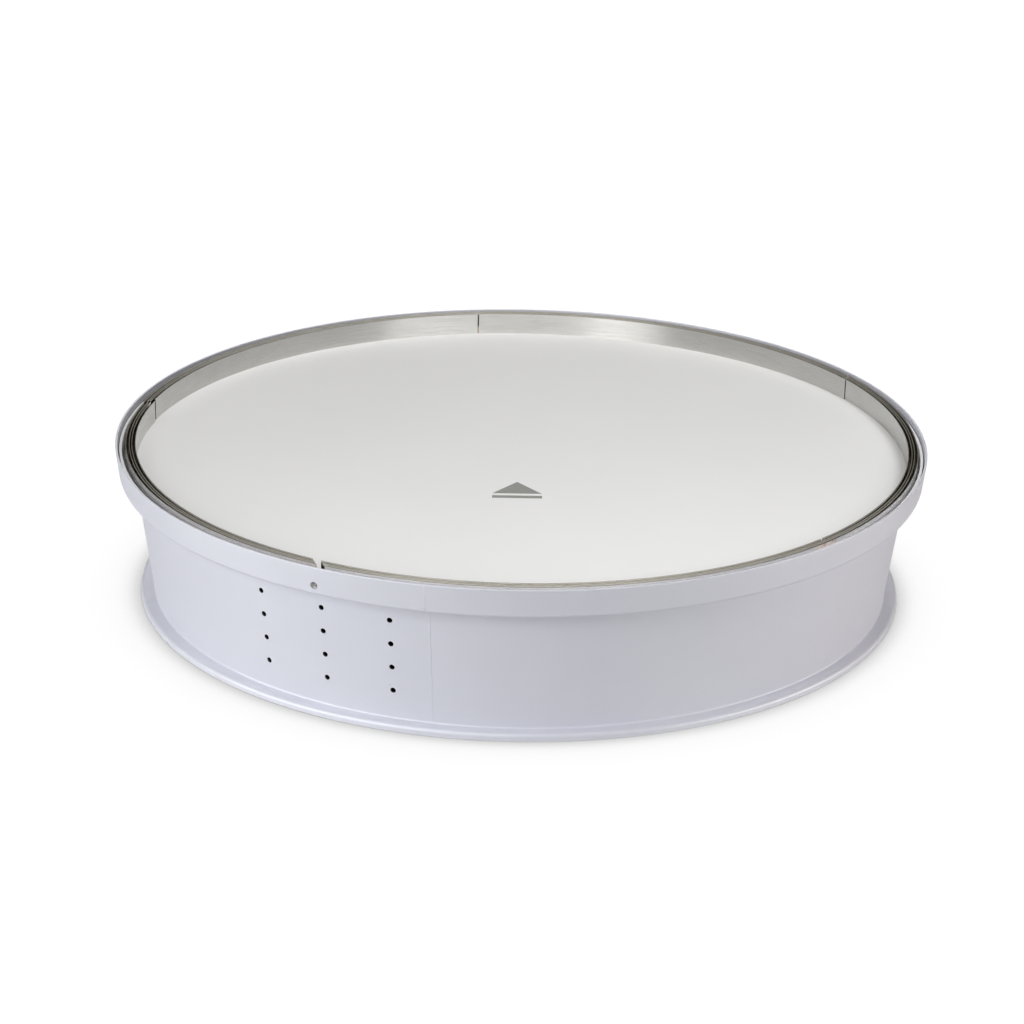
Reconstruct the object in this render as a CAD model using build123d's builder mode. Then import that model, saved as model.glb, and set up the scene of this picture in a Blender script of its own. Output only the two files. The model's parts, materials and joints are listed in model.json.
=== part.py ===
from build123d import *

import os
from math import cos, degrees, radians, sin

# Isolator shroud and flat radome for a parabolic dish antenna.
#
# The shroud stands on its base flange with the open dish side down and the flat
# radome up. +Z is the axis, out of the front, and the origin is the centre of the
# base plane. -Y is the side of the printed mark. Lengths are in millimetres and
# azimuths in degrees, counter-clockwise from +X.

# Shroud: one rolled and welded sheet
SHEET = 1.8                    # sheet thickness
HEIGHT = 137.0                 # base plane to rim
RIM_R = 350.0                  # outside of the rim
COLLAR_HEIGHT = 24.6           # rim down to the underside of the shoulder
COLLAR_FOOT_R = 347.1          # outside of the collar where it meets the shoulder
WALL_TOP_R = 333.9             # outside of the wall under the shoulder
WALL_FOOT_R = 319.4            # outside of the wall at the flange
FLANGE_R = 331.0               # outside of the flange lip
FLANGE_HEIGHT = 6.0            # base plane to the top of the flange
BEND_R = 2.2                   # bend radius at mid-sheet
RIM_TRIM = 2.0                 # the collar is formed this much too tall, then trimmed level
RIM_EDGE_R = 0.6               # rounding of the trimmed edge

# Drain holes: a grid of small holes through the wall, at its lowest side once the dish is up
DRAIN_HOLE_D = 4.6
DRAIN_COLUMNS = 3
DRAIN_MIDDLE_AZIMUTH = -118.1
DRAIN_COLUMN_STEP = 10.3       # azimuth between columns
DRAIN_ROWS = 4
DRAIN_LOWEST_Z = 32.0
DRAIN_PITCH = 21.2

# Radome cover: a moulded tray that rests on the shoulder
DISC_DEPTH = 19.6              # rim down to the face of the cover
TRAY_RIM_DEPTH = 4.7           # rim down to the top of the cover's own upstand
TRAY_RIM_INNER_R = 344.3       # inside of the upstand at its top
TRAY_RIM_FOOT_R = 344.0        # inside of the upstand at the cover's face
TRAY_CLEARANCE = 1.1           # upstand to collar
TRAY_EDGE = 0.6                # chamfer round the bottom

# Foam tape that bonds the cover to the shoulder
TAPE = 0.8
TAPE_INNER_R = 335.6
TAPE_OUTER_R = 343.6

# Choke: nested upright metal strips, in segments with mitred ends
STRIP_RADII = {"inner": 334.5, "second": 337.5, "third": 339.6, "outer": 342.6}
STRIP_THICKNESS = 0.5
# Joints between segments: azimuth at the innermost ring, gap there, gap at the outermost ring
JOINTS = (
    (28.2, 0.5, 0.5),
    (97.3, 1.5, 1.5),
    (167.6, 5.8, 2.6),
    (241.6, 7.6, 7.6),
    (316.0, 1.6, 0.5),
)
# Each segment is bent a little out of true: how far its start, middle and end stand outside the ring
SEGMENT_BOWS = (
    (0.4, -0.7, 0.4),
    (0.4, -0.4, -0.6),
    (-1.8, -1.5, -0.3),
    (-0.2, 0.8, 0.3),
    (0.3, -0.7, 0.9),
)
OPEN_JOINT_GAP = 6.0           # a gap wider than this is left clear of spacers too
SPACER_HEIGHT = 6.5
SPACER_CLEARANCE = 0.1         # spacer to strip, each side
SPACER_END_GAP = 0.4

# Drain port: a hole low in the collar, with a notch in the cover's upstand behind it
PORT_AZIMUTH = -117.5
PORT_DEPTH_BELOW_RIM = 16.0
PORT_D = 6.5
NOTCH_WIDTH = 8.0

SHOULDER_Z = HEIGHT - COLLAR_HEIGHT + SHEET      # top of the shoulder
TRAY_Z = SHOULDER_Z + TAPE                       # underside of the radome cover
DISC_Z = HEIGHT - DISC_DEPTH                     # face of the radome cover
PORT_Z = HEIGHT - PORT_DEPTH_BELOW_RIM
COLLAR_SLOPE = (RIM_R - COLLAR_FOOT_R) / COLLAR_HEIGHT
WALL_SLOPE = (WALL_TOP_R - WALL_FOOT_R) / (HEIGHT - COLLAR_HEIGHT - FLANGE_HEIGHT)
CUT_REACH = 30.0                                 # length of a cut through the wall


def collar_r(z):
    """Outside radius of the collar at height z."""
    return RIM_R - (HEIGHT - z) * COLLAR_SLOPE


def wall_r(z):
    """Outside radius of the tapered wall at height z."""
    return WALL_FOOT_R + (z - FLANGE_HEIGHT) * WALL_SLOPE


def sheet_plane(radius, azimuth, z, slope):
    """Plane on the outside of the shroud, square to a sheet that widens upwards by slope."""
    angle = radians(azimuth)
    origin = (radius * cos(angle), radius * sin(angle), z)
    return Plane(origin=origin, x_dir=(-sin(angle), cos(angle), 0), z_dir=(cos(angle), sin(angle), -slope))


def joint_azimuth(joint, radius):
    """Where a 45 degree mitre through a segment joint crosses the given radius."""
    return JOINTS[joint][0] + degrees((radius - STRIP_RADII["inner"]) / radius)


def strip_gap(joint, radius):
    """Gap between strips at a joint, which narrows or widens evenly from ring to ring."""
    inner_gap, outer_gap = JOINTS[joint][1:]
    share = (radius - STRIP_RADII["inner"]) / (STRIP_RADII["outer"] - STRIP_RADII["inner"])
    return inner_gap + (outer_gap - inner_gap) * share


def spacer_gap(joint, radius):
    """Gap between spacers: they run on through every joint but the wide open one."""
    gap = strip_gap(joint, radius)
    return gap if gap > OPEN_JOINT_GAP else SPACER_END_GAP


def segment_points(segment, radius, gap_at):
    """Start, middle and end of a segment's arc, short of each joint by half of its gap."""
    following = (segment + 1) % len(JOINTS)
    start = joint_azimuth(segment, radius) + degrees(gap_at(segment, radius) / 2 / radius)
    end = joint_azimuth(following, radius) - degrees(gap_at(following, radius) / 2 / radius)
    middle = start + (end - start) % 360 / 2
    stations = zip((start, middle, end), SEGMENT_BOWS[segment])
    return [((radius + bow) * cos(radians(at)), (radius + bow) * sin(radians(at))) for at, bow in stations]


os.makedirs("parts", exist_ok=True)


def save(builder, name):
    """Label a finished piece and write it to its own file."""
    builder.part.label = name
    export_step(builder.part, f"parts/{name}.step")


# The shroud's section follows the middle of the sheet: lip, flange, wall, shoulder, collar
mid = SHEET / 2
shoulder_mid_z = HEIGHT - COLLAR_HEIGHT + mid
first_column = DRAIN_MIDDLE_AZIMUTH - DRAIN_COLUMN_STEP * (DRAIN_COLUMNS - 1) / 2
drain_columns = [first_column + column * DRAIN_COLUMN_STEP for column in range(DRAIN_COLUMNS)]
drain_heights = [DRAIN_LOWEST_Z + row * DRAIN_PITCH for row in range(DRAIN_ROWS)]
drain_planes = [
    sheet_plane(wall_r(z), azimuth, z, WALL_SLOPE)
    for azimuth in drain_columns
    for z in drain_heights
]
port_plane = sheet_plane(collar_r(PORT_Z), PORT_AZIMUTH, PORT_Z, COLLAR_SLOPE)

with BuildPart() as shroud_shell:
    with BuildSketch(Plane.XZ):
        with BuildLine():
            FilletPolyline(
                (FLANGE_R - mid, 0),
                (FLANGE_R - mid, FLANGE_HEIGHT - mid),
                (WALL_FOOT_R - mid, FLANGE_HEIGHT - mid),
                (WALL_TOP_R - mid, shoulder_mid_z),
                (COLLAR_FOOT_R - mid, shoulder_mid_z),
                (collar_r(HEIGHT + RIM_TRIM) - mid, HEIGHT + RIM_TRIM),
                radius=BEND_R,
            )
        trace(line_width=SHEET)
    revolve(axis=Axis.Z)
    split(bisect_by=Plane.XY.offset(HEIGHT), keep=Keep.BOTTOM)
    rim_edges = shroud_shell.edges().group_by(Axis.Z)[-1].filter_by(GeomType.CIRCLE)
    fillet(rim_edges, radius=RIM_EDGE_R)
    with BuildSketch(*drain_planes):
        Circle(DRAIN_HOLE_D / 2)
    extrude(amount=CUT_REACH / 2, both=True, mode=Mode.SUBTRACT)
    with BuildSketch(port_plane):
        Circle(PORT_D / 2)
    extrude(amount=CUT_REACH / 2, both=True, mode=Mode.SUBTRACT)
save(shroud_shell, "shroud_shell")

with BuildPart() as cover_tape:
    with BuildSketch(Plane.XY.offset(SHOULDER_Z)):
        Circle(TAPE_OUTER_R)
        Circle(TAPE_INNER_R, mode=Mode.SUBTRACT)
    extrude(amount=TAPE)
save(cover_tape, "cover_tape")

# The radome cover's upstand leans out with the collar, a clearance inside it
tray_foot_r = collar_r(TRAY_Z) - SHEET - TRAY_CLEARANCE
tray_rim_z = HEIGHT - TRAY_RIM_DEPTH
tray_rim_r = collar_r(tray_rim_z) - SHEET - TRAY_CLEARANCE

with BuildPart() as radome_cover:
    with BuildSketch(Plane.XZ):
        with BuildLine():
            Polyline(
                (0, TRAY_Z),
                (tray_foot_r - TRAY_EDGE, TRAY_Z),
                (tray_foot_r, TRAY_Z + TRAY_EDGE),
                (tray_rim_r, tray_rim_z),
                (TRAY_RIM_INNER_R, tray_rim_z),
                (TRAY_RIM_FOOT_R, DISC_Z),
                (0, DISC_Z),
                close=True,
            )
        make_face()
    revolve(axis=Axis.Z)
    with BuildSketch(Plane.XY.offset(DISC_Z)):
        with PolarLocations(tray_rim_r, 1, start_angle=PORT_AZIMUTH):
            Rectangle(CUT_REACH / 2, NOTCH_WIDTH)
    extrude(amount=DISC_DEPTH, mode=Mode.SUBTRACT)
save(radome_cover, "radome_cover")

# Choke strips: every ring of every segment is its own strip, standing on the cover's face
for ring, ring_r in STRIP_RADII.items():
    for segment in range(len(JOINTS)):
        with BuildPart() as strip:
            with BuildSketch(Plane.XY.offset(DISC_Z)):
                with BuildLine():
                    ThreePointArc(*segment_points(segment, ring_r, strip_gap))
                trace(line_width=STRIP_THICKNESS)
            extrude(amount=DISC_DEPTH)
        save(strip, f"choke_strip_{ring}_{segment + 1}")

# Spacer bars: three arcs for each segment hold the strips at their pitch
ring_radii = list(STRIP_RADII.values())
for segment in range(len(JOINTS)):
    with BuildPart() as spacers:
        with BuildSketch(Plane.XY.offset(DISC_Z)):
            for inside_r, outside_r in zip(ring_radii, ring_radii[1:]):
                bar_r = (inside_r + outside_r) / 2
                bar_width = outside_r - inside_r - STRIP_THICKNESS - 2 * SPACER_CLEARANCE
                with BuildLine():
                    ThreePointArc(*segment_points(segment, bar_r, spacer_gap))
                trace(line_width=bar_width)
        extrude(amount=SPACER_HEIGHT)
    save(spacers, f"choke_spacers_{segment + 1}")
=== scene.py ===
"""Looks of the isolator shroud: materials, fine pieces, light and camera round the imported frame."""
import json
from math import atan2, cos, pi, radians, sin, tau

import bmesh
import bpy
from mathutils import Matrix, Vector

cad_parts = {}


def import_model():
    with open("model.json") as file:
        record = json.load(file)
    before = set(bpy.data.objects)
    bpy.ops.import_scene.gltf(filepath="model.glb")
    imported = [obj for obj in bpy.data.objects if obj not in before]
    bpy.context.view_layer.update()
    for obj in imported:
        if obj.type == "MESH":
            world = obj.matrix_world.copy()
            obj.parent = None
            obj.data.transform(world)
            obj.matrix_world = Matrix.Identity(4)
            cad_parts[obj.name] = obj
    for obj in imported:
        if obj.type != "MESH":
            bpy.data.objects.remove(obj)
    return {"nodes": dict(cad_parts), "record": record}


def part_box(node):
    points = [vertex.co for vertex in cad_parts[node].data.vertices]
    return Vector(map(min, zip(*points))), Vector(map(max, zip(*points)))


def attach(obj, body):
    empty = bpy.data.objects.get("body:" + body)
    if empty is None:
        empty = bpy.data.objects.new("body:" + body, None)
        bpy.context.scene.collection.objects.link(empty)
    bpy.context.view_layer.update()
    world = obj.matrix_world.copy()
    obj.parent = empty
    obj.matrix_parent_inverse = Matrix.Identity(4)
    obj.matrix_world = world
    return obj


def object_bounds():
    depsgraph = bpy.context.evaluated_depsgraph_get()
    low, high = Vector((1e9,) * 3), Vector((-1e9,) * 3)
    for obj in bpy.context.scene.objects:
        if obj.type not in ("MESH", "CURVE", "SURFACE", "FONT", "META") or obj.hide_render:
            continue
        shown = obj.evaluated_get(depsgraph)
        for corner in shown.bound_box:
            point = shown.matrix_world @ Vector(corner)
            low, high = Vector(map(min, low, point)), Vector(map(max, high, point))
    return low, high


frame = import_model()
cad_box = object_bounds()

MM = 0.001
BODY = "root"
LOW, HIGH = cad_box
RIM_R = (HIGH.x - LOW.x) / 2
RIM_Z = HIGH.z
COVER_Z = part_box("choke_strip_inner_1")[0].z
SHROUD = frame["nodes"]["shroud_shell"]


def mean_radius(node):
    """Mean distance of a node's mesh points from the axis."""
    corners = frame["nodes"][node].data.vertices
    return sum(Vector((v.co.x, v.co.y)).length for v in corners) / len(corners)


OUTER_RING_R = mean_radius("choke_strip_outer_1")

# Camera, in rim radii from the centre of the rim
CAMERA_OFFSET = Vector((-0.0202, -7.559, 2.769))
CAMERA_TILT = radians(21.503)
CAMERA_ROLL = radians(0.94)
CAMERA_LENS = 114.2
CAMERA_SENSOR = 36.0

# Shroud paint and drain holes
PAINT_DARK = (0.725, 0.73, 0.785)
PAINT_LIGHT = (0.75, 0.755, 0.805)
SPECK_COLOUR = (0.35, 0.33, 0.32)
SPECK_CELLS = 40.0             # for each metre
SPECK_SIZE = (0.012, 0.028)    # solid and faded radius, in cells
# near black, painted shade on the drain holes' walls
HOLE_WALL_SHADE = (0.02, 0.018, 0.016)
DRAIN_BAND = (20.0 * MM, 108.0 * MM)   # heights between which the wall is punched
SIDEWAYS = 0.6                 # below this a surface faces neither outwards nor inwards

# Cover
COVER_GRAIN = 1800.0           # cells for each metre

# Brushed strips
STEEL_DARK = (0.50, 0.495, 0.475)
STEEL_LIGHT = (0.66, 0.655, 0.635)
STEEL_CLOUD = (0.72, 0.715, 0.70)
# pale lilac, painted reflection of the collar on the outermost strips
OUTER_FACE_REFLECTION = (0.80, 0.79, 0.82)
HEAT_TINT = (0.80, 0.69, 0.62)
WELD_MARK = (0.30, 0.19, 0.16)
# painted shade low down in the channels between strips, then painted light near their tops
CHANNEL_SHADE = (0.13, 0.11, 0.085)
CHANNEL_TOP_LIGHT = (0.86, 0.82, 0.71)
SHEARED_EDGE = (0.27, 0.245, 0.20)
HIGHLIGHT_DIRECTION = (0.02, 0.01, 1.0)   # tangent that spreads highlights up and down a strip
GRAIN_SCALE = (14.0, 2600.0, 2600.0)   # cells for each radian round, metre out and metre up
CLOUD_SCALE = (9.0, 60.0, 70.0)        # the same, for broad uneven patches
EDGE_BAND = 0.20 * MM          # sheared edge, duller than the faces
PAINTED_LIGHT_DEPTH = 0.6 * MM         # upper part of the channels, where the painted light is full
PAINTED_SHADE_DEPTH = 2.2 * MM          # depth where the channels' painted shade is at its darkest
OPEN_FACING = 0.2              # a side that faces its open way less than this is in a channel
SEGMENTS = 5
TINT_REACH = radians(3.9)      # how far heat tint runs back from a welded strip end
WELL_HEATED_SEGMENT = 4        # its end shows the strongest tint
STRONG_TINT = 0.85
FAINT_TINT = 0.25
WELD_MARK_CELLS = 240.0        # for each metre
WELD_MARK_SIZE = (0.16, 0.32)  # solid and faded radius, in cells

# Seam of the rolled sheet
SEAM_AZIMUTH = radians(-102.2)
SEAM_HALF_WIDTH = 1.0 * MM
SEAM_HEIGHT = 0.05 * MM
SEAM_ROOT = 0.3 * MM           # how far the bead reaches into the sheet
SEAM_STEP = 1.2 * MM           # from one row of the bead's mesh to the next
RIPPLE = 0.15                  # share of the bead's height
RIPPLE_ROWS = 2.7              # length of a ripple, in rows
SWAY = 0.12                    # share of the bead's half width
SWAY_ROWS = 23.0
WALL_SEAM = (9.5 * MM, 111.0 * MM)
COLLAR_SEAM = (115.5 * MM, 135.5 * MM)

# Printed orientation mark on the cover
MARK_CENTRE = Vector((-0.003, -0.085, 0.0))
MARK_HEIGHT = 38.0 * MM
MARK_WIDTH = 42.0 * MM
BAR_SHARE = 0.16               # of the mark's height
GAP_SHARE = 0.12
INK = 0.05 * MM                # thickness of the print above and below the cover's face

# Floor
FLOOR_SIZE = 60.0
FLOOR_DROP = 0.2 * MM
FLOOR_OPENING = 0.925 * RIM_R  # inside the drum there is no floor
FLOOR_COLOUR = (0.86, 0.86, 0.865)
FLOOR_SHADES = (               # reach, occlusion range and the brightness it maps to
    (0.16, 0.40, 0.90, 0.93, 1.05),
    (0.035, 0.45, 0.92, 0.42, 1.0),
)

# Studio lights and surroundings
LIGHT_DISTANCE = 2.4
LIGHT_AIM = Vector((0, 0, 0.08))
WHITE = (1.0, 1.0, 1.0)
COOL = (0.97, 1.0, 1.03)
WARM = (1.07, 1.0, 0.93)
FRONT_TO_SIDES = (-0.8, -0.4)  # Y of a direction, over which the world's light falls
WORLD_LIGHT = (0.31, 0.215)
WORLD_COLOUR = (1.0, 0.985, 1.0)
BELOW_FLOOR = (-0.14, -0.10)   # Z of a direction, over which the backdrop turns white
BACKDROP = (0.0, 1.1)


# ---------------------------------------------------------------- node helpers

def new_material(name):
    """An empty node material with a Principled shader, and its tree."""
    material = bpy.data.materials.new(name)
    material.use_nodes = True
    tree = material.node_tree
    shader = tree.nodes["Principled BSDF"]
    return material, tree, shader


def link(tree, source, target):
    """Joins an output socket to an input socket."""
    tree.links.new(source, target)


def math_node(tree, operation, first, second=None):
    """A Math node whose inputs are sockets or numbers; returns its output."""
    node = tree.nodes.new("ShaderNodeMath")
    node.operation = operation
    for index, value in enumerate((first, second)):
        if value is None:
            continue
        if isinstance(value, (int, float)):
            node.inputs[index].default_value = value
        else:
            link(tree, value, node.inputs[index])
    return node.outputs[0]


def position(tree):
    """The place in the frame, as a vector socket and as its X, Y and Z sockets."""
    coords = tree.nodes.new("ShaderNodeTexCoord")
    split = tree.nodes.new("ShaderNodeSeparateXYZ")
    link(tree, coords.outputs["Object"], split.inputs[0])
    return coords.outputs["Object"], split.outputs


def combine(tree, x, y, z):
    """A vector from three sockets or numbers."""
    node = tree.nodes.new("ShaderNodeCombineXYZ")
    for socket, value in zip(node.inputs, (x, y, z)):
        if isinstance(value, (int, float)):
            socket.default_value = value
        else:
            link(tree, value, socket)
    return node.outputs[0]


def noise(tree, vector, scale, detail=3.0, roughness=0.5):
    """Cloudy noise from 0 to 1; scale is in cells for each unit of the vector."""
    node = tree.nodes.new("ShaderNodeTexNoise")
    node.inputs["Scale"].default_value = scale
    node.inputs["Detail"].default_value = detail
    node.inputs["Roughness"].default_value = roughness
    link(tree, vector, node.inputs["Vector"])
    return node.outputs["Fac"]


def cell_distance(tree, vector, scale):
    """Distance to the nearest of scattered points, in cells of a Voronoi texture."""
    node = tree.nodes.new("ShaderNodeTexVoronoi")
    node.inputs["Scale"].default_value = scale
    link(tree, vector, node.inputs["Vector"])
    return node.outputs["Distance"]


def ramp(tree, factor, stops):
    """A colour ramp through (place, colour) stops."""
    node = tree.nodes.new("ShaderNodeValToRGB")
    elements = node.color_ramp.elements
    while len(elements) < len(stops):
        elements.new(0.5)
    for element, (place, colour) in zip(elements, stops):
        element.position = place
        element.color = (*colour, 1.0)
    link(tree, factor, node.inputs[0])
    return node.outputs["Color"]


def map_range(tree, value, span, onto):
    """Maps a socket's value from one (low, high) range onto another, and clamps it there."""
    node = tree.nodes.new("ShaderNodeMapRange")
    ends = ("From Min", "From Max", "To Min", "To Max")
    for name, number in zip(ends, (*span, *onto)):
        node.inputs[name].default_value = number
    link(tree, value, node.inputs["Value"])
    return node.outputs["Result"]


def mix_colour(tree, factor, first, second):
    """Blends two colours, each a socket or a tuple; factor 0 gives the first."""
    node = tree.nodes.new("ShaderNodeMix")
    node.data_type = "RGBA"
    sockets = {s.identifier: s for s in node.inputs}
    for socket, value in (
        (sockets["Factor_Float"], factor), (sockets["A_Color"], first), (sockets["B_Color"], second)
    ):
        if isinstance(value, (int, float)):
            socket.default_value = value
        elif isinstance(value, tuple):
            socket.default_value = (*value, 1.0)
        else:
            link(tree, value, socket)
    return next(s for s in node.outputs if s.identifier == "Result_Color")


def bump(tree, shader, height, strength, distance):
    """Roughens a shader's normal by a height socket."""
    node = tree.nodes.new("ShaderNodeBump")
    node.inputs["Strength"].default_value = strength
    node.inputs["Distance"].default_value = distance
    link(tree, height, node.inputs["Height"])
    link(tree, node.outputs["Normal"], shader.inputs["Normal"])


def polar(tree, split):
    """Azimuth in radians and distance from the axis, as sockets."""
    azimuth = math_node(tree, "ARCTAN2", split["Y"], split["X"])
    squares = [math_node(tree, "POWER", split[axis], 2.0) for axis in ("X", "Y")]
    return azimuth, math_node(tree, "SQRT", math_node(tree, "ADD", *squares))


def stretched(tree, place, scale):
    """A vector of three coordinates, each times its own scale."""
    return combine(tree, *(math_node(tree, "MULTIPLY", *pair) for pair in zip(place, scale)))


# ---------------------------------------------------------------- materials

def radial_facing(tree, split, radius):
    """How squarely a surface faces away from the axis: 1 outwards, -1 inwards."""
    geometry = tree.nodes.new("ShaderNodeNewGeometry")
    normal = tree.nodes.new("ShaderNodeSeparateXYZ")
    link(tree, geometry.outputs["Normal"], normal.inputs[0])
    parts = [math_node(tree, "MULTIPLY", normal.outputs[axis], split[axis]) for axis in ("X", "Y")]
    return math_node(tree, "DIVIDE", math_node(tree, "ADD", *parts), radius)


def painted_hole_shade(tree, split):
    """Marks the walls of the drain holes for painted shade: on the wall, and not facing in or out."""
    _, radius = polar(tree, split)
    sideways = math_node(tree, "ABSOLUTE", radial_facing(tree, split, radius))
    edge = math_node(tree, "LESS_THAN", sideways, SIDEWAYS)
    above = math_node(tree, "GREATER_THAN", split["Z"], DRAIN_BAND[0])
    below = math_node(tree, "LESS_THAN", split["Z"], DRAIN_BAND[1])
    return math_node(tree, "MULTIPLY", edge, math_node(tree, "MULTIPLY", above, below))


def shroud_paint():
    """Satin powder coat: pale cool grey-white with a fine orange peel, and painted shade on the drain
    holes' walls.
    """
    material, tree, shader = new_material("shroud_paint")
    where, split = position(tree)
    patches = noise(tree, where, scale=9.0, detail=4.0)
    colour = ramp(tree, patches, ((0.3, PAINT_DARK), (0.7, PAINT_LIGHT)))
    dust = map_range(tree, cell_distance(tree, where, SPECK_CELLS), SPECK_SIZE, (0.45, 0.0))
    colour = mix_colour(tree, dust, colour, SPECK_COLOUR)
    # painted shade: the drain holes' walls made near black
    colour = mix_colour(tree, painted_hole_shade(tree, split), colour, HOLE_WALL_SHADE)
    link(tree, colour, shader.inputs["Base Color"])
    sheen = map_range(tree, noise(tree, where, scale=60.0), (0.3, 0.7), (0.52, 0.58))
    link(tree, sheen, shader.inputs["Roughness"])
    shader.inputs["Metallic"].default_value = 0.4
    shader.inputs["Specular IOR Level"].default_value = 0.5
    peel = noise(tree, where, scale=750.0, detail=2.0)
    bump(tree, shader, peel, strength=0.12, distance=0.12 * MM)
    return material


def cover_plastic():
    """Fine matt plastic, warm white."""
    material, tree, shader = new_material("cover_plastic")
    where, _ = position(tree)
    patches = noise(tree, where, scale=6.0, detail=4.0)
    colour = ramp(tree, patches, ((0.3, (0.80, 0.80, 0.785)), (0.7, (0.82, 0.82, 0.805))))
    link(tree, colour, shader.inputs["Base Color"])
    sheen = map_range(tree, noise(tree, where, scale=40.0), (0.3, 0.7), (0.46, 0.54))
    link(tree, sheen, shader.inputs["Roughness"])
    shader.inputs["Specular IOR Level"].default_value = 0.4
    bump(tree, shader, noise(tree, where, scale=COVER_GRAIN), strength=0.10, distance=0.08 * MM)
    return material


def strip_end(ring, segment):
    """Azimuth of a strip's counter-clockwise end, read from its mesh."""
    corners = [v.co for v in frame["nodes"][f"choke_strip_{ring}_{segment}"].data.vertices]
    start = atan2(corners[0].y, corners[0].x)
    return start + max((atan2(p.y, p.x) - start + pi) % tau - pi for p in corners)


def weld_heat(tree, split, azimuth):
    """Heat tint and small weld marks where the outermost strips end."""
    zones = 0.0
    for segment in range(1, SEGMENTS + 1):
        centre = strip_end("outer", segment) - TINT_REACH / 2
        away = math_node(tree, "COSINE", math_node(tree, "SUBTRACT", azimuth, centre))
        strength = STRONG_TINT if segment == WELL_HEATED_SEGMENT else FAINT_TINT
        fade = (cos(0.6 * TINT_REACH), cos(0.4 * TINT_REACH))
        zone = map_range(tree, away, fade, (0.0, strength))
        zones = math_node(tree, "ADD", zones, zone)
    marks_at = combine(tree, math_node(tree, "MULTIPLY", azimuth, OUTER_RING_R), split["Z"], 0.0)
    distance = cell_distance(tree, marks_at, WELD_MARK_CELLS)
    spots = map_range(tree, distance, WELD_MARK_SIZE, (0.9, 0.0))
    return zones, math_node(tree, "MULTIPLY", spots, zones)


def in_channel(tree, split, radius, open_side):
    """Two masks for the sides that face a channel: one for painted shade low down, one for painted
    light near the top.
    """
    facing = radial_facing(tree, split, radius)
    openness = math_node(tree, "MULTIPLY", facing, open_side)
    closed = math_node(tree, "LESS_THAN", openness, OPEN_FACING)
    height = map_range(tree, split["Z"], (RIM_Z - PAINTED_SHADE_DEPTH, RIM_Z - PAINTED_LIGHT_DEPTH), (0.0, 1.0))
    channel_top_light = math_node(tree, "MULTIPLY", closed, height)
    return math_node(tree, "SUBTRACT", closed, channel_top_light), channel_top_light


def choke_metal(place, open_side):
    """Stainless strip brushed along its length and dull along its edge, with painted shade down in
    the channels and painted light near their tops.

    open_side is -1 for the innermost ring, whose inner face is open to view, and 1 for the
    outermost ring, whose outer face is. It is 0 for the rings between, which have no open face.
    """
    material, tree, shader = new_material(f"choke_metal_{place}")
    _, split = position(tree)
    azimuth, radius = polar(tree, split)
    ring_place = (azimuth, radius, split["Z"])
    grain_at = stretched(tree, ring_place, GRAIN_SCALE)
    grain = noise(tree, grain_at, scale=1.0, detail=6.0, roughness=0.65)
    cloud = noise(tree, stretched(tree, ring_place, CLOUD_SCALE), scale=1.0)
    steel = ramp(tree, grain, ((0.25, STEEL_DARK), (0.75, STEEL_LIGHT)))
    steel = mix_colour(tree, map_range(tree, cloud, (0.35, 0.65), (0.0, 0.25)), steel, STEEL_CLOUD)
    edge_span = (RIM_Z - EDGE_BAND, RIM_Z - 0.3 * EDGE_BAND)
    edge = map_range(tree, split["Z"], edge_span, (0.0, 1.0))
    metallic = 1.0
    if open_side > 0:
        metallic = 0.6
        # painted reflection: a pale lilac tint standing for the collar mirrored in the outermost
        # strips
        steel = mix_colour(tree, 0.5, steel, OUTER_FACE_REFLECTION)
        tint, spots = weld_heat(tree, split, azimuth)
        steel = mix_colour(tree, tint, steel, HEAT_TINT)
        steel = mix_colour(tree, spots, steel, WELD_MARK)
    # painted shade low in the channels, painted light near their tops
    channel_shade, channel_top_light = in_channel(tree, split, radius, open_side)
    steel = mix_colour(tree, channel_shade, steel, CHANNEL_SHADE)
    steel = mix_colour(tree, math_node(tree, "MULTIPLY", channel_top_light, 0.6), steel, CHANNEL_TOP_LIGHT)
    colour = mix_colour(tree, edge, steel, SHEARED_EDGE)
    link(tree, colour, shader.inputs["Base Color"])
    link(tree, map_range(tree, channel_top_light, (0.0, 1.0), (metallic, 0.45)), shader.inputs["Metallic"])
    brushed = map_range(tree, grain, (0.3, 0.7), (0.20, 0.30))
    sheared = math_node(tree, "MULTIPLY", edge, 0.35)
    link(tree, math_node(tree, "ADD", brushed, sheared), shader.inputs["Roughness"])
    shader.inputs["Anisotropic"].default_value = 0.9
    link(tree, combine(tree, *HIGHLIGHT_DIRECTION), shader.inputs["Tangent"])
    bump(tree, shader, grain, strength=0.15, distance=0.06 * MM)
    return material


def spacer_plastic():
    """Tan moulded spacer."""
    material, tree, shader = new_material("spacer_plastic")
    where, _ = position(tree)
    patches = noise(tree, where, scale=120.0)
    colour = ramp(tree, patches, ((0.3, (0.30, 0.25, 0.19)), (0.7, (0.36, 0.31, 0.24))))
    link(tree, colour, shader.inputs["Base Color"])
    shader.inputs["Roughness"].default_value = 0.6
    bump(tree, shader, noise(tree, where, scale=1500.0), strength=0.1, distance=0.1 * MM)
    return material


def foam_tape():
    """Closed-cell foam."""
    material, tree, shader = new_material("foam_tape")
    where, _ = position(tree)
    cells = noise(tree, where, scale=1400.0, detail=2.0)
    colour = ramp(tree, cells, ((0.3, (0.22, 0.22, 0.22)), (0.7, (0.34, 0.34, 0.34))))
    link(tree, colour, shader.inputs["Base Color"])
    shader.inputs["Roughness"].default_value = 0.9
    bump(tree, shader, cells, strength=0.4, distance=0.2 * MM)
    return material


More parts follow.
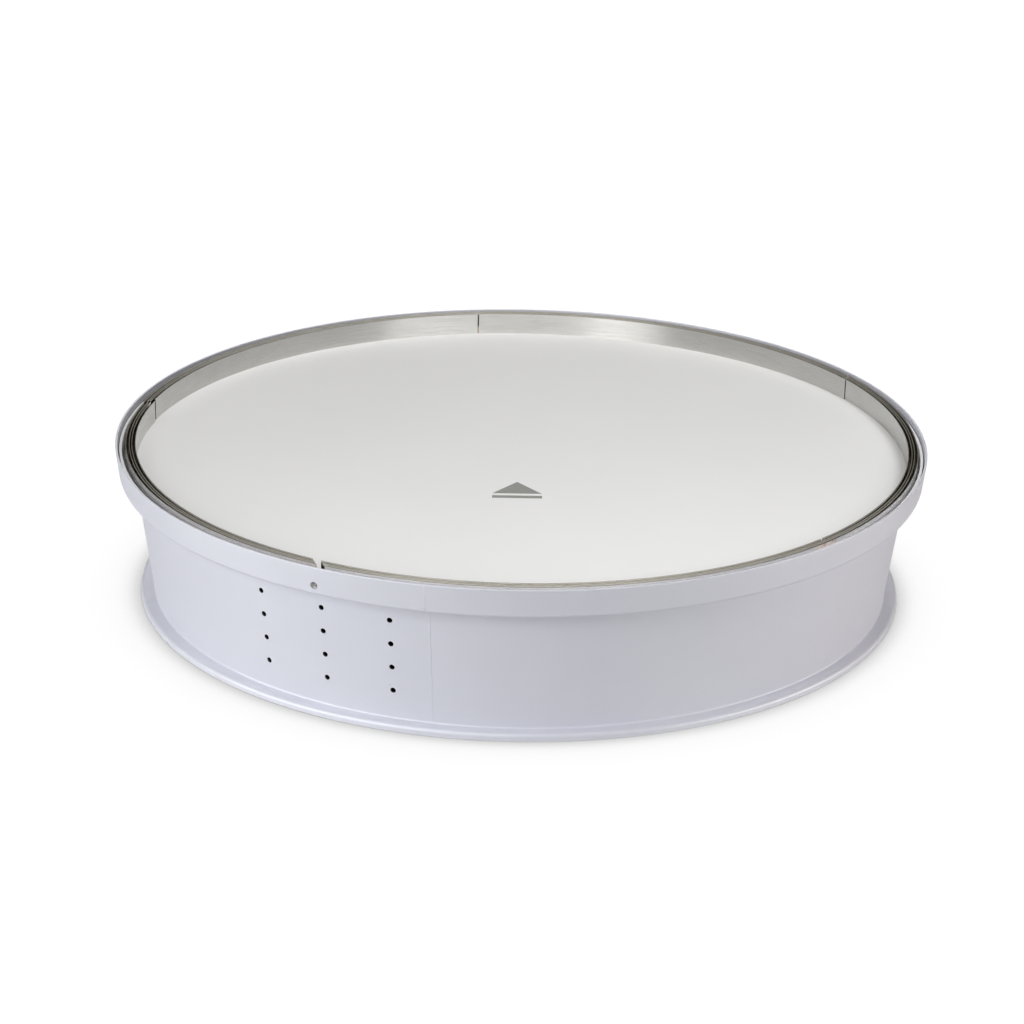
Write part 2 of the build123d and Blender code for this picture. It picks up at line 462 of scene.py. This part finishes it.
def mark_ink():
    """Grey print, a little uneven, with the cover's grain under it."""
    material, tree, shader = new_material("mark_ink")
    where, _ = position(tree)
    blotches = noise(tree, where, scale=180.0, detail=4.0)
    colour = ramp(tree, blotches, ((0.3, (0.265, 0.27, 0.25)), (0.7, (0.30, 0.305, 0.285))))
    link(tree, colour, shader.inputs["Base Color"])
    shader.inputs["Roughness"].default_value = 0.55
    bump(tree, shader, noise(tree, where, scale=COVER_GRAIN), strength=0.10, distance=0.08 * MM)
    return material


def give(node, material):
    """Puts one material on a CAD node."""
    for slot in frame["nodes"][node].material_slots:
        slot.material = material


materials = {
    "shroud_paint": shroud_paint(),
    "cover_plastic": cover_plastic(),
    "choke_metal": choke_metal("middle", 0.0),
    "spacer_plastic": spacer_plastic(),
    "foam_tape": foam_tape(),
}
for subpart in frame["record"]["subparts"]:
    give(subpart["node"], materials[subpart["material_slot"]])
for ring, open_side in (("inner", -1.0), ("outer", 1.0)):
    ring_metal = choke_metal(ring, open_side)
    for segment in range(1, SEGMENTS + 1):
        give(f"choke_strip_{ring}_{segment}", ring_metal)


# ---------------------------------------------------------------- fine pieces

def piece_from(name, mesh_code, material):
    """Makes a piece from the mesh that mesh_code builds, and fastens it to the body."""
    build = bmesh.new()
    mesh_code(build)
    bmesh.ops.recalc_face_normals(build, faces=build.faces)
    mesh = bpy.data.meshes.new(name)
    build.to_mesh(mesh)
    build.free()
    piece = bpy.data.objects.new(name, mesh)
    bpy.context.scene.collection.objects.link(piece)
    mesh.materials.append(material)
    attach(piece, BODY)
    return piece


def prism(build, outline, low, high):
    """A closed flat prism between two heights over an outline of (x, y) points."""
    bottom = [build.verts.new((x, y, low)) for x, y in outline]
    top = [build.verts.new((x, y, high)) for x, y in outline]
    build.faces.new(bottom)
    build.faces.new(top)
    for index in range(len(outline)):
        after = (index + 1) % len(outline)
        build.faces.new((bottom[index], bottom[after], top[after], top[index]))


def orientation_mark(build):
    """An arrowhead over a bar, pointing to the top of the fitted dish."""
    half = MARK_WIDTH / 2
    foot = MARK_CENTRE.y - MARK_HEIGHT / 2
    bar = BAR_SHARE * MARK_HEIGHT
    gap = GAP_SHARE * MARK_HEIGHT
    left, middle, right = MARK_CENTRE.x - half, MARK_CENTRE.x, MARK_CENTRE.x + half
    base = foot + bar + gap
    outlines = (
        ((left, foot), (right, foot), (right, foot + bar), (left, foot + bar)),
        ((left, base), (right, base), (middle, foot + MARK_HEIGHT)),
    )
    for outline in outlines:
        prism(build, outline, COVER_Z - INK, COVER_Z + INK)


def outside_radius(azimuth, height):
    """Radius of the shroud's outer surface, found by looking inwards from outside it."""
    outwards = Vector((cos(azimuth), sin(azimuth), 0))
    start = 2 * RIM_R * outwards + Vector((0, 0, height))
    _, place, _, _ = SHROUD.ray_cast(start, -outwards)
    return Vector((place.x, place.y)).length


def seam_bead(low, high):
    """Mesh code for a low ground weld bead on the shroud between two heights."""
    section = ((-1, -SEAM_ROOT), (-1, 0), (-0.5, 0.8 * SEAM_HEIGHT), (0, SEAM_HEIGHT),
               (0.5, 0.8 * SEAM_HEIGHT), (1, 0), (1, -SEAM_ROOT))

    def fill(build):
        count = int((high - low) / SEAM_STEP)
        rows = []
        for row in range(count + 1):
            height = low + (high - low) * row / count
            radius = outside_radius(SEAM_AZIMUTH, height)
            ripple = 1 - RIPPLE + RIPPLE * sin(tau * row / RIPPLE_ROWS)
            sway = SWAY * sin(tau * row / SWAY_ROWS)
            ring = []
            for across, out in section:
                azimuth = SEAM_AZIMUTH + (across + sway) * SEAM_HALF_WIDTH / radius
                reach = radius + (out * ripple if out > 0 else out)
                ring.append(build.verts.new((reach * cos(azimuth), reach * sin(azimuth), height)))
            rows.append(ring)
        for lower, upper in zip(rows, rows[1:]):
            for index in range(len(section)):
                after = (index + 1) % len(section)
                build.faces.new((lower[index], lower[after], upper[after], upper[index]))
        build.faces.new(rows[0])
        build.faces.new(rows[-1])

    return fill


mark = piece_from("orientation_mark", orientation_mark, mark_ink())
seams = [
    piece_from(name, seam_bead(*span), materials["shroud_paint"])
    for name, span in (("seam_weld_wall", WALL_SEAM), ("seam_weld_collar", COLLAR_SEAM))
]
for seam in seams:
    for face in seam.data.polygons:
        face.use_smooth = len(face.vertices) == 4


# ---------------------------------------------------------------- stage

def floor():
    """A plain white floor, shaded where the object stands on it.

    It is open inside the drum and clear from below, so the underside can be seen.
    """
    bpy.ops.mesh.primitive_plane_add(size=FLOOR_SIZE, location=(0, 0, LOW.z - FLOOR_DROP))
    plane = bpy.context.object
    plane.name = "floor"
    material, tree, shader = new_material("floor")
    shader.inputs["Base Color"].default_value = (*FLOOR_COLOUR, 1)
    shader.inputs["Roughness"].default_value = 0.6
    shades = []
    for reach, low, high, dark, light in FLOOR_SHADES:
        contact = tree.nodes.new("ShaderNodeAmbientOcclusion")
        contact.inputs["Distance"].default_value = reach
        contact.samples = 8
        shades.append(map_range(tree, contact.outputs["AO"], (low, high), (dark, light)))
    glow = tree.nodes.new("ShaderNodeEmission")
    link(tree, math_node(tree, "MULTIPLY", *shades), glow.inputs["Strength"])
    path = tree.nodes.new("ShaderNodeLightPath")
    either = tree.nodes.new("ShaderNodeMixShader")
    link(tree, path.outputs["Is Camera Ray"], either.inputs[0])
    link(tree, shader.outputs[0], either.inputs[1])
    link(tree, glow.outputs[0], either.inputs[2])
    _, split = position(tree)
    _, radius = polar(tree, split)
    inside_drum = math_node(tree, "LESS_THAN", radius, FLOOR_OPENING)
    geometry = tree.nodes.new("ShaderNodeNewGeometry")
    open_part = math_node(tree, "MAXIMUM", inside_drum, geometry.outputs["Backfacing"])
    clear = tree.nodes.new("ShaderNodeBsdfTransparent")
    whole = tree.nodes.new("ShaderNodeMixShader")
    link(tree, open_part, whole.inputs[0])
    link(tree, either.outputs[0], whole.inputs[1])
    link(tree, clear.outputs[0], whole.inputs[2])
    link(tree, whole.outputs[0], tree.nodes["Material Output"].inputs["Surface"])
    plane.data.materials.append(material)
    return plane


def receivers(name, members):
    """A collection of the objects that a group of lights falls on."""
    group = bpy.data.collections.new(name)
    for member in members:
        group.objects.link(member)
    return group


def softbox(name, azimuth, elevation, size, power, group, colour):
    """A square soft light that looks at the object from the given direction, in degrees."""
    around, above = radians(azimuth), radians(elevation)
    data = bpy.data.lights.new(name, "AREA")
    data.shape = "SQUARE"
    data.size = size
    data.energy = power
    data.color = colour
    light = bpy.data.objects.new(name, data)
    towards = Vector((cos(above) * cos(around), cos(above) * sin(around), sin(above)))
    light.location = LIGHT_DISTANCE * towards
    light.rotation_euler = (LIGHT_AIM - light.location).to_track_quat("-Z", "Y").to_euler()
    bpy.context.scene.collection.objects.link(light)
    light.light_linking.receiver_collection = group


def world():
    """Seen as plain white, and black under the floor as painted shade for what shows through the
    drain holes. Its light is dim, brighter in front.
    """
    surroundings = bpy.data.worlds.new("studio")
    bpy.context.scene.world = surroundings
    surroundings.use_nodes = True
    tree = surroundings.node_tree
    tree.nodes.clear()
    coords = tree.nodes.new("ShaderNodeTexCoord")
    split = tree.nodes.new("ShaderNodeSeparateXYZ")
    link(tree, coords.outputs["Generated"], split.inputs[0])
    lit = tree.nodes.new("ShaderNodeBackground")
    lit.inputs["Color"].default_value = (*WORLD_COLOUR, 1)
    strength = map_range(tree, split.outputs["Y"], FRONT_TO_SIDES, WORLD_LIGHT)
    link(tree, strength, lit.inputs["Strength"])
    seen = tree.nodes.new("ShaderNodeBackground")
    seen.inputs["Color"].default_value = (*WHITE, 1)
    backdrop = map_range(tree, split.outputs["Z"], BELOW_FLOOR, BACKDROP)
    link(tree, backdrop, seen.inputs["Strength"])
    path = tree.nodes.new("ShaderNodeLightPath")
    mix = tree.nodes.new("ShaderNodeMixShader")
    out = tree.nodes.new("ShaderNodeOutputWorld")
    link(tree, path.outputs["Is Camera Ray"], mix.inputs[0])
    link(tree, lit.outputs[0], mix.inputs[1])
    link(tree, seen.outputs[0], mix.inputs[2])
    link(tree, mix.outputs[0], out.inputs["Surface"])


def camera():
    """Looks a little down at the rim from the front, rolled slightly, through a long lens."""
    data = bpy.data.cameras.new("camera")
    data.lens = CAMERA_LENS
    data.sensor_width = CAMERA_SENSOR
    eye = bpy.data.objects.new("camera", data)
    right = Vector((1, 0, 0))
    back = Vector((0, -cos(CAMERA_TILT), sin(CAMERA_TILT)))
    up = Vector((0, sin(CAMERA_TILT), cos(CAMERA_TILT)))
    rolled_right = cos(CAMERA_ROLL) * right + sin(CAMERA_ROLL) * up
    rolled_up = cos(CAMERA_ROLL) * up - sin(CAMERA_ROLL) * right
    turn = Matrix((rolled_right, rolled_up, back)).transposed().to_4x4()
    eye.matrix_world = Matrix.Translation(Vector((0, 0, RIM_Z)) + RIM_R * CAMERA_OFFSET) @ turn
    bpy.context.scene.collection.objects.link(eye)
    bpy.context.scene.camera = eye


ground = floor()
world()
camera()

others = [node for node in frame["nodes"].values() if node is not SHROUD]
shroud_side = receivers("shroud_side", [SHROUD, *seams, ground])
face_side = receivers("face_side", [*others, mark])
all_parts = receivers("all_parts", [SHROUD, *others, *seams, mark])
edge_side = receivers("edge_side", [SHROUD, *seams])
LIGHTS = (                     # name, azimuth, elevation, size, power, what it falls on, colour
    ("shroud_left_low", 200, 8, 0.5, 14.5, shroud_side, WHITE),
    ("shroud_left", 230, 30, 0.9, 18.6, shroud_side, COOL),
    ("shroud_right", 325, 8, 0.5, 7.8, shroud_side, WHITE),
    ("shroud_right_low", 354, 8, 0.5, 12.0, shroud_side, WARM),
    ("shroud_top", 270, 60, 2.2, 11.0, edge_side, WHITE),
    ("shroud_rim", 90, 75, 2.2, 9.0, edge_side, WHITE),
    ("shroud_back", 90, 30, 1.2, 8.0, shroud_side, WHITE),
    ("face_left_low", 236, 8, 0.9, 14.2, face_side, WHITE),
    ("face_right_low", 310, 8, 0.5, 3.8, face_side, WHITE),
    ("face_left", 245, 30, 0.9, 16.8, face_side, WHITE),
    ("face_front", 270, 30, 0.9, 10.5, face_side, WHITE),
    ("face_right", 295, 30, 0.9, 18.0, face_side, WHITE),
    ("face_top", 325, 62, 0.9, 19.3, face_side, WHITE),
    ("underside", 250, -65, 1.5, 22.0, all_parts, WHITE),
)
for light in LIGHTS:
    softbox(*light)
bpy.context.scene.view_settings.view_transform = "Standard"
